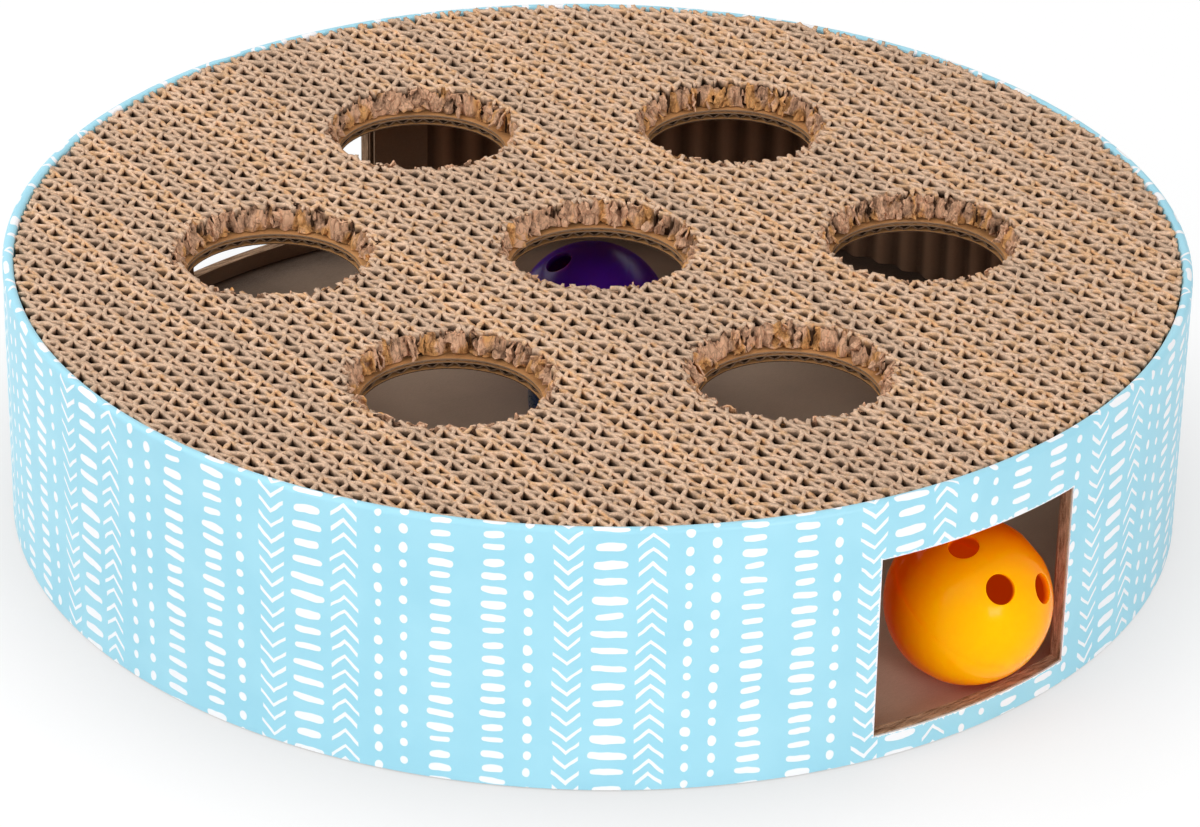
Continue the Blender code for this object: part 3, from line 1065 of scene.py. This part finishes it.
def torn_flap(hole, angle, width, flatness):
    """Corner points of one flap on a hole's wall, how far each stands out, and the faces."""
    out = level_way(angle)
    side = Vector((-out.y, out.x))
    bend = 1 - FLAT_EASE * flatness
    twist = rng.uniform(-TWIST, TWIST) * bend
    fold = rng.uniform(-FOLD, FOLD) * bend
    reach = HOLE_RADIUS + rng.uniform(*REACH_MM) * MM
    top = PAD_TOP + rng.uniform(*TOP_MM) * MM
    foot = PAD_FOOT + rng.uniform(*FOOT_MM) * MM
    lean = rng.uniform(*LEAN_MM) * MM
    seed = rng.uniform(0.0, 50.0)
    points, ridges = [], []
    for row in range(FLAP_ROWS + 1):
        drop = row / FLAP_ROWS
        for column in range(FLAP_COLUMNS + 1):
            across = column / FLAP_COLUMNS - 0.5
            height = top + (foot - top) * drop
            upright = CRUMPLE_UPRIGHT * height
            crease = Vector((across * width * CRUMPLE_SCALE, upright * CRUMPLE_SCALE, seed))
            push = CRUMPLE * noise.noise(crease)
            hollow = push + math.sin(twist) * across * width + fold * (abs(across) - 0.25) * width
            inwards = reach - lean * drop + hollow
            along = across * width * math.cos(twist) + CRUMPLE_SIDE * noise.noise(crease * SIDE_FINER)
            height += CRUMPLE_RISE * noise.noise(crease * RISE_FINER)
            place = hole + out * inwards + side * along
            points.append((place.x, place.y, max(PAD_FOOT, height)))
            ridges.append(0.5 - hollow / RIDGE_SPAN)
    return points, ridges, grid_faces(FLAP_ROWS, FLAP_COLUMNS + 1)


# %% [markdown]
# Behind the flaps a skin goes all round the hole, pleated by noise, so that no gap opens between two
# flaps. It is the same kind of grid, closed into a ring.

# %% Skin of a hole
SKIN_COLUMNS, SKIN_SCALE, SKIN_CRUMPLE = 200, 400.0, 2.6 * MM
SKIN_REACH, SKIN_LEAN, SKIN_DROP = 0.9 * MM, 1.2 * MM, 0.9 * MM
SKIN_UPRIGHT, SKIN_LAYER = 0.4, 20.0


def torn_skin(hole, layer):
    """A crumpled skin all round a hole, which shows between the flaps."""
    points, ridges = [], []
    for row in range(FLAP_ROWS + 1):
        drop = row / FLAP_ROWS
        height = PAD_TOP - SKIN_DROP + (PAD_FOOT - PAD_TOP + SKIN_DROP) * drop
        for column in range(SKIN_COLUMNS):
            out = level_way(2 * math.pi * column / SKIN_COLUMNS)
            spot = out * HOLE_RADIUS * SKIN_SCALE
            fold = Vector((spot.x, spot.y, SKIN_UPRIGHT * height * SKIN_SCALE + SKIN_LAYER * layer))
            hollow = SKIN_CRUMPLE * noise.noise(fold)
            place = hole + out * (HOLE_RADIUS + SKIN_REACH - SKIN_LEAN * drop + hollow)
            points.append((place.x, place.y, height))
            ridges.append(0.5 - hollow / SKIN_CRUMPLE)
    return points, ridges, grid_faces(FLAP_ROWS, SKIN_COLUMNS, closed=True)


# %% [markdown]
# Where the wall runs along the strips it shows their broad faces, and where it crosses them it shows
# narrow torn ends, so the width of a flap follows the way that it faces. Each flap overlaps the next a
# little. All of them, and the skins, become one mesh, and Solidify gives it the thickness of paper.

# %% Torn flaps
NARROW_FLAP, WIDE_FLAP = 1.7 * MM, 6.5 * MM
FLAP_STEP = 0.72
FLAP_PAPER = 0.45 * MM


def torn_flaps():
    flaps = [torn_skin(hole, layer) for layer, hole in enumerate(holes)]
    for hole in holes:
        angle = rng.uniform(0.0, 0.2)
        while angle < 2 * math.pi:
            broad = level_way(angle).dot(ACROSS) ** 2
            flatness = max(broad * rng.uniform(0.3, 1.0), rng.random() ** 4)
            width = NARROW_FLAP * rng.uniform(0.7, 1.5) + (WIDE_FLAP - NARROW_FLAP) * flatness
            flaps.append(torn_flap(hole, angle, width, flatness))
            angle += FLAP_STEP * width / HOLE_RADIUS
    points, ridges, faces = [], [], []
    for flap_points, flap_ridges, flap_faces in flaps:
        faces += [tuple(len(points) + index for index in face) for face in flap_faces]
        points += flap_points
        ridges += flap_ridges
    mesh = bpy.data.meshes.new("torn_flaps")
    mesh.from_pydata(points, [], faces)
    mesh.attributes.new(RIDGE, "FLOAT", "POINT").data.foreach_set("value", ridges)
    piece = placed("torn_flaps", mesh)
    apply_modifier(piece, "SOLIDIFY", thickness=FLAP_PAPER, offset=0.0)
    piece.data.materials.append(torn_kraft)
    smooth(piece, 28)
    seat(piece, "scratching_top", "pad_kraft")


torn_flaps()

# %% [markdown]
# ## The support board
#
# Under the pad lies a board with two layers of small flutes between three flat sheets. Its cut edge shows
# in every hole. The waved sheets only show where they are cut, so they are made there alone: a ring around
# each hole and one inside the rim, with each point lifted to the height that the wave has at that place.
# The cut itself is pale at the top and turns dark towards the foot, painted shade, and the cells behind it
# are painted dark with shade.

# %% Waved rings of the board
SHEET = 0.30 * MM
WAVE_SHEET = 0.34 * MM
CUT_SHARE = 0.06
BOARD_TURN = math.radians(140)


def painted_foot_shade(place):
    """1 at the board's top, 0 in the painted shade at its foot."""
    return parts_of(place)[2].between(SUPPORT_FOOT + SHEET, SUPPORT_TOP)


# The cut turns darker towards its foot: painted shade.
cut_kraft = kraft("cut_kraft", (0.44, 0.28, 0.17), (0.06, 0.032, 0.018), turn=0.9, shade_and_wear=painted_foot_shade)
# The cells behind the cut are painted dark with shade.
painted_cell_shade = kraft("painted_cell_shade", (0.07, 0.035, 0.016), (0.035, 0.016, 0.008), turn=0.9)
print("finishes of the cut:", cut_kraft.name, painted_cell_shade.name)


def waved_ring(centre, edge, reach, steps, foot, top, pitch):
    """A ring of waved sheet between two heights, from a cut edge to some way behind it."""
    ring = started("board_wave", "circle", vertices=steps, radius=edge, location=(*centre, 0))
    edit(ring)
    radius = edge
    for share in (CUT_SHARE, 1.0):
        bpy.ops.mesh.extrude_region_move()
        wide = (edge + reach * share) / radius
        bpy.ops.transform.resize(value=(wide, wide, 1), center_override=(*centre, 0))
        radius = edge + reach * share
    leave_edit()
    middle, swing = (foot + top) / 2, (top - foot - WAVE_SHEET) / 2
    for vertex in ring.data.vertices:
        across = vertex.co.x * math.cos(BOARD_TURN) + vertex.co.y * math.sin(BOARD_TURN)
        vertex.co.z = middle + swing * flute_wave(across / pitch)
    apply_modifier(ring, "SOLIDIFY", thickness=WAVE_SHEET, offset=0.0)
    ring.data.materials.append(cut_kraft)
    ring.data.materials.append(painted_cell_shade)
    # Faces behind the cut take the painted shade of the cells.
    for face in ring.data.polygons:
        behind = abs((face.center.to_2d() - Vector(centre)).length - edge)
        face.material_index = int(behind > abs(reach) * CUT_SHARE)
    return ring


# %% [markdown]
# Each flat sheet is a thin disc, cut by the same seven round punches. The waved rings lie between the
# discs, and all of it is joined into one board.

# %% Support board
LOWER_WAVE, UPPER_WAVE = 3.7 * MM, 2.5 * MM
MIDDLE_SHEET = SUPPORT_FOOT + 0.58 * (SUPPORT_TOP - SUPPORT_FOOT)
BOARD_STEPS, PUNCH_STEPS, HOLE_WAVE_STEPS, RIM_WAVE_STEPS = 192, 72, 288, 1500
RING_DEPTH = 5.0 * MM


def punches(radius):
    """Seven round bars at the holes, as one cutter."""
    bars = [started("punch", "cylinder", vertices=PUNCH_STEPS, radius=radius, depth=4 * DRUM_HEIGHT,
                    location=(*hole, 0)) for hole in holes]
    return joined("punches", bars)


def support_board():
    hole_edge = HOLE_RADIUS - HOLE_LEDGE
    cutter = punches(hole_edge)
    cutter.data.materials.append(cut_kraft)
    flats = ((SUPPORT_FOOT, SUPPORT_FOOT + SHEET), (MIDDLE_SHEET, MIDDLE_SHEET + SHEET),
             (SUPPORT_TOP - SHEET, SUPPORT_TOP))
    sheets = []
    for number, (foot, top) in enumerate(flats):
        sheet = started(f"board_flat_{number}", "cylinder", vertices=BOARD_STEPS, radius=PAD_RADIUS,
                        depth=top - foot, location=(0, 0, (foot + top) / 2))
        sheet.data.materials.append(support_kraft)
        cut(sheet, cutter)
        sheets.append(sheet)
    remove(cutter)
    for number, pitch in enumerate((LOWER_WAVE, UPPER_WAVE)):
        foot, top = flats[number][1], flats[number + 1][0]
        for hole in holes:
            sheets.append(waved_ring(hole, hole_edge + WAVE_SHEET, RING_DEPTH, HOLE_WAVE_STEPS,
                                     foot, top, pitch))
        sheets.append(waved_ring((0, 0), PAD_RADIUS - WAVE_SHEET, -RING_DEPTH, RIM_WAVE_STEPS,
                                 foot, top, pitch))
    board = joined("double_wall_board", sheets)
    smooth(board, 40)
    seat(board, "scratching_top", "support_kraft", "support_board")


support_board()

# %% [markdown]
# ## The balls
#
# The balls are glossy plastic, with fine scuffs. Light seeps a little way into it, which subsurface
# scattering gives. Inside the hollow each ball has a darker copy of its colour, which paints shade, and a
# glow, which paints light. The orange one is the most see-through, and it has painted light outside too:
# towards a fixed lit side, and the side opposite, it turns yellower, and it glows, most on the lit side.

# %% Ball finish
BALL_RADIUS = 20.75 * MM
HOLLOW_RAMP = (0.93, 0.985)
SEEP = 0.65
SEEP_COLOURS = (1.0, 0.22, 0.03)
SEEP_DEPTH = 6 * MM
# The way towards the side of the orange ball that is painted as lit.
LIT_SIDE = (-0.388, -0.913, 0.131)
LIT_RAMP = (0.17, 1.0)
SCUFF_SCALE, SCUFF_LIFT = 1300.0, 0.05 * MM
NO_GLOW = (0.0, 0.0, 0.0)


def ball_middle(name):
    corners = [corner for half in ("upper", "lower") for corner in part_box(f"{name}_ball_{half}")]
    low = Vector(min(corner[axis] for corner in corners) for axis in range(3))
    high = Vector(max(corner[axis] for corner in corners) for axis in range(3))
    return (low + high) / 2


def plastic(name, body, inside, glow, roughness, gloss, lit_colour=None, shade_glow=NO_GLOW, lit_glow=NO_GLOW):
    """Glossy plastic that light seeps into. Inside the hollow a darker colour paints shade and a glow
    paints light. The optional colours paint light outside: yellower towards the lit side and the side
    opposite, and a glow that is strongest on the lit side.
    """
    material, start = new_material(f"{name}_plastic", Specular_IOR_Level=gloss, Emission_Strength=1.0,
                                   Subsurface_Weight=SEEP, Subsurface_Radius=SEEP_COLOURS,
                                   Subsurface_Scale=SEEP_DEPTH)
    place = object_place(start)
    middle = tuple(ball_middle(name))
    away = start.node("ShaderNodeVectorMath", {"operation": "DISTANCE"}, {0: place, 1: middle}, out="Value")
    # In the hollow the colour is a darker copy, painted shade, and the glow there is painted light.
    hollow = 1 - (away / BALL_RADIUS).between(*HOLLOW_RAMP)
    outwards = start.node("ShaderNodeVectorMath", {"operation": "SUBTRACT"}, {0: place, 1: middle})
    facing = start.node("ShaderNodeVectorMath", {"operation": "DOT_PRODUCT"},
                        {0: outwards, 1: LIT_SIDE}, out="Value") / BALL_RADIUS
    outside = abs(facing).between(*LIT_RAMP).blend(colour(*body), colour(*(lit_colour or body)))
    painted_glow = facing.between(*LIT_RAMP).blend(colour(*shade_glow), colour(*lit_glow))
    scuff = clouds(place, SCUFF_SCALE, 2.0, 0.6)
    wire(material, Base_Color=hollow.blend(outside, colour(*inside)),
         Emission_Color=hollow.blend(painted_glow, colour(*glow)),
         Roughness=roughness + 0.1 * (scuff - 0.5),
         Normal=bumped(start, scuff, 0.04, SCUFF_LIFT))
    return material


# The orange ball's last three colours paint light on its lit side: a yellower colour and a glow.
orange_plastic = plastic("orange", (1.0, 0.165, 0.0), (0.5, 0.06, 0.001), (0.16, 0.015, 0.0), 0.14, 0.06,
                         lit_colour=(1.0, 0.51, 0.0), shade_glow=(0.11, 0.008, 0.0), lit_glow=(0.27, 0.05, 0.0))
purple_plastic = plastic("purple", (0.11, 0.011, 0.42), (0.02, 0.004, 0.06), (0.001, 0.0, 0.002), 0.30, 0.3)
blue_plastic = plastic("blue", (0.012, 0.07, 0.19), (0.005, 0.03, 0.08), (0.0, 0.001, 0.002), 0.28, 0.3)
print("plastics:", [finish.name for finish in (orange_plastic, purple_plastic, blue_plastic)])

# %% [markdown]
# Each ball is moulded in two hollow halves, with a ring of five holes in each half. A sphere is cut
# in two with Bisect, Solidify gives it a wall, and round bars punch the holes. A small bevel softens
# every edge, so that the seam shows as a fine line. How each ball lies is given by the way its pole
# points and a turn about that pole. Its place is the middle of the two solids that it stands for.

# %% Balls
BALL_WALL = 1.6 * MM
BALL_SEGMENTS, BALL_RINGS = 64, 32
BALL_HOLE, BALL_HOLE_STEPS = 3.8 * MM, 40
BALL_HOLES = 5
HOLE_LEAN = math.radians(35.3)
SEAM = 0.015 * MM
EDGE_ROUND, EDGE_SEGMENTS = 0.4 * MM, 3
SHARP_EDGE = math.radians(50)


def half_ball(name, finish):
    """Half a hollow ball with its pole up, at the origin."""
    half = started(name, "uv_sphere", segments=BALL_SEGMENTS, ring_count=BALL_RINGS, radius=BALL_RADIUS)
    edit(half)
    bpy.ops.mesh.bisect(plane_co=(0, 0, SEAM), plane_no=(0, 0, 1), clear_inner=True)
    leave_edit()
    apply_modifier(half, "SOLIDIFY", thickness=BALL_WALL, offset=-1.0)
    half.data.materials.append(finish)
    bars = []
    for number in range(BALL_HOLES):
        around = Matrix.Rotation(2 * math.pi * number / BALL_HOLES, 4, "Z")
        punch = started("ball_punch", "cylinder", vertices=BALL_HOLE_STEPS, radius=BALL_HOLE,
                        depth=4 * BALL_WALL)
        punch.data.transform(around @ Matrix.Rotation(HOLE_LEAN, 4, "Y")
                             @ Matrix.Translation((0, 0, BALL_RADIUS)))
        bars.append(punch)
    cutter = joined("ball_punches", bars)
    cutter.data.materials.append(finish)
    cut(half, cutter)
    remove(cutter)
    apply_modifier(half, "BEVEL", width=EDGE_ROUND, segments=EDGE_SEGMENTS, limit_method="ANGLE",
                   angle_limit=SHARP_EDGE)
    return half


def ball(name, pole, spin, finish):
    pose = Vector((0, 0, 1)).rotation_difference(Vector(pole)).to_matrix().to_4x4()
    pose = Matrix.Translation(ball_middle(name)) @ pose @ Matrix.Rotation(math.radians(spin), 4, "Z")
    for side, flip in (("upper", 0.0), ("lower", math.pi)):
        half = half_ball(f"{name}_half_{side}", finish)
        half.data.transform(pose @ Matrix.Rotation(flip, 4, "X"))
        smooth(half, 40)
        seat(half, f"{name}_ball", f"{name}_plastic", f"{name}_ball_{side}")


ball("orange", (0.23, -0.464, 0.855), 11.0, orange_plastic)
ball("purple", (-0.681, 0.556, 0.477), 17.0, purple_plastic)
ball("blue", (0.5, 0.3, 0.8), 0.0, blue_plastic)

# %% [markdown]
# ## Stage, light and camera
#
# The floor is plain and pale. For the camera it gives light of its own, so that it reads as white, and less
# of it where the box stands close by, which paints a soft shadow around its foot. The world is an even
# white.

# %% Floor and world
FLOOR_SIZE = 8.0
FLOOR_LEVEL = -0.1 * MM
FLOOR_TONE = 0.88
FLOOR_SEEN = 0.14
FLOOR_LIFT = 0.88
SHADE_REACH = 50 * MM
SHADE_DEPTH = 0.42
WORLD_LIGHT = 0.4


def seen_rays(start):
    """1 for what the camera sees, straight or in a shiny surface."""
    kinds = ("Is Camera Ray", "Is Glossy Ray", "Is Transmission Ray")
    camera, glossy, through = (start.node("ShaderNodeLightPath", out=kind) for kind in kinds)
    return camera.most(glossy).most(through)


def studio_floor():
    floor = started("studio_floor", "plane", size=FLOOR_SIZE, location=(0, 0, FLOOR_LEVEL))
    material, start = new_material("studio_floor", Roughness=0.9, Specular_IOR_Level=0.0,
                                   Emission_Strength=1.0)
    seen = seen_rays(start)
    tone, seen_tone = (colour(level, level, level) for level in (FLOOR_TONE, FLOOR_SEEN))
    # Ambient occlusion dims the floor's own light near the box: a painted shadow.
    open_share = start.node("ShaderNodeAmbientOcclusion", {}, {"Distance": SHADE_REACH}, out="AO")
    glow = FLOOR_LIFT * (1 - SHADE_DEPTH * (1 - open_share))
    lift = start.node("ShaderNodeCombineColor", {}, {0: glow, 1: glow, 2: glow})
    wire(material, Base_Color=seen.blend(tone, seen_tone), Emission_Color=seen.blend(colour(0, 0, 0), lift))
    floor.data.materials.append(material)


def studio_world():
    world = bpy.data.worlds.new("studio_world")
    world.use_nodes = True
    bpy.context.scene.world = world
    start = Flow(world.node_tree)
    seen = seen_rays(start)
    sky = world.node_tree.nodes["Background"]
    sky.inputs["Color"].default_value = colour(1, 1, 1)
    strength = WORLD_LIGHT + (1 - WORLD_LIGHT) * seen
    world.node_tree.links.new(strength.socket, sky.inputs["Strength"])


studio_floor()
studio_world()
print(f"floor {FLOOR_SIZE:.0f} m wide, world light {WORLD_LIGHT}")

# %% [markdown]
# A low lamp shines into the window, and softer ones stand beside the camera, to the left, overhead and
# behind. Each is given by the way to it, in degrees around the box and above the floor.

# %% Lamps
def way_to(azimuth, elevation):
    """The way from the box towards an azimuth and an elevation."""
    turn, tilt = math.radians(azimuth), math.radians(elevation)
    return Vector((math.cos(turn) * math.cos(tilt), math.sin(turn) * math.cos(tilt), math.sin(tilt)))


def lamp(name, azimuth, elevation, distance, size, power):
    """A square area lamp that looks at the box."""
    bpy.ops.object.select_all(action="DESELECT")
    bpy.ops.object.light_add(type="AREA")
    light = named(bpy.context.object, name)
    way = way_to(azimuth, elevation)
    light.location = way * distance
    light.rotation_euler = (-way).to_track_quat("-Z", "Y").to_euler()
    light.data.size = size
    light.data.energy = power


# The name of each lamp, its azimuth, elevation, distance and size, and its power in watts.
LAMPS = (
    ("window_lamp", -94.0, 14.0, 1.6, 0.4, 8.5), ("camera_lamp", -128.0, 38.0, 1.6, 0.7, 1.8),
    ("left_lamp", -172.0, 36.0, 1.6, 0.9, 5.5), ("near_lamp", 145.0, 42.0, 0.9, 0.5, 1.8),
    ("top_lamp", 52.0, 80.0, 1.6, 1.2, 5.4), ("back_lamp", 95.0, 40.0, 1.3, 0.7, 1.45),
)
for settings in LAMPS:
    lamp(*settings)
print("lamps:", [settings[0] for settings in LAMPS])

# %% [markdown]
# The camera looks down at the box from in front of its left side, with a long lens. A small shift
# places the box in the picture as the photograph does, and a slight roll follows its horizon.

# %% Camera
CAMERA_AZIMUTH, CAMERA_ELEVATION = -128.0, 28.92
CAMERA_DISTANCE = 1.3017
CAMERA_ROLL = 1.08
CAMERA_LENS, SENSOR_WIDTH = 147.7, 36.0
CAMERA_SHIFT = (0.0053, 0.056)
VIEW_END = 20.0


def photo_camera():
    data = bpy.data.cameras.new("photo_camera")
    camera = placed("photo_camera", data)
    way = way_to(CAMERA_AZIMUTH, CAMERA_ELEVATION)
    camera.location = way * CAMERA_DISTANCE
    aim = (-way).to_track_quat("-Z", "Y").to_matrix() @ Matrix.Rotation(math.radians(CAMERA_ROLL), 3, "Z")
    camera.rotation_euler = aim.to_euler()
    data.lens = CAMERA_LENS
    data.sensor_width = SENSOR_WIDTH
    data.shift_x, data.shift_y = CAMERA_SHIFT
    data.clip_end = VIEW_END
    bpy.context.scene.camera = camera


photo_camera()
bpy.context.scene.view_settings.view_transform = "Standard"
print(f"camera: lens {CAMERA_LENS} mm, {CAMERA_DISTANCE:.2f} m away")
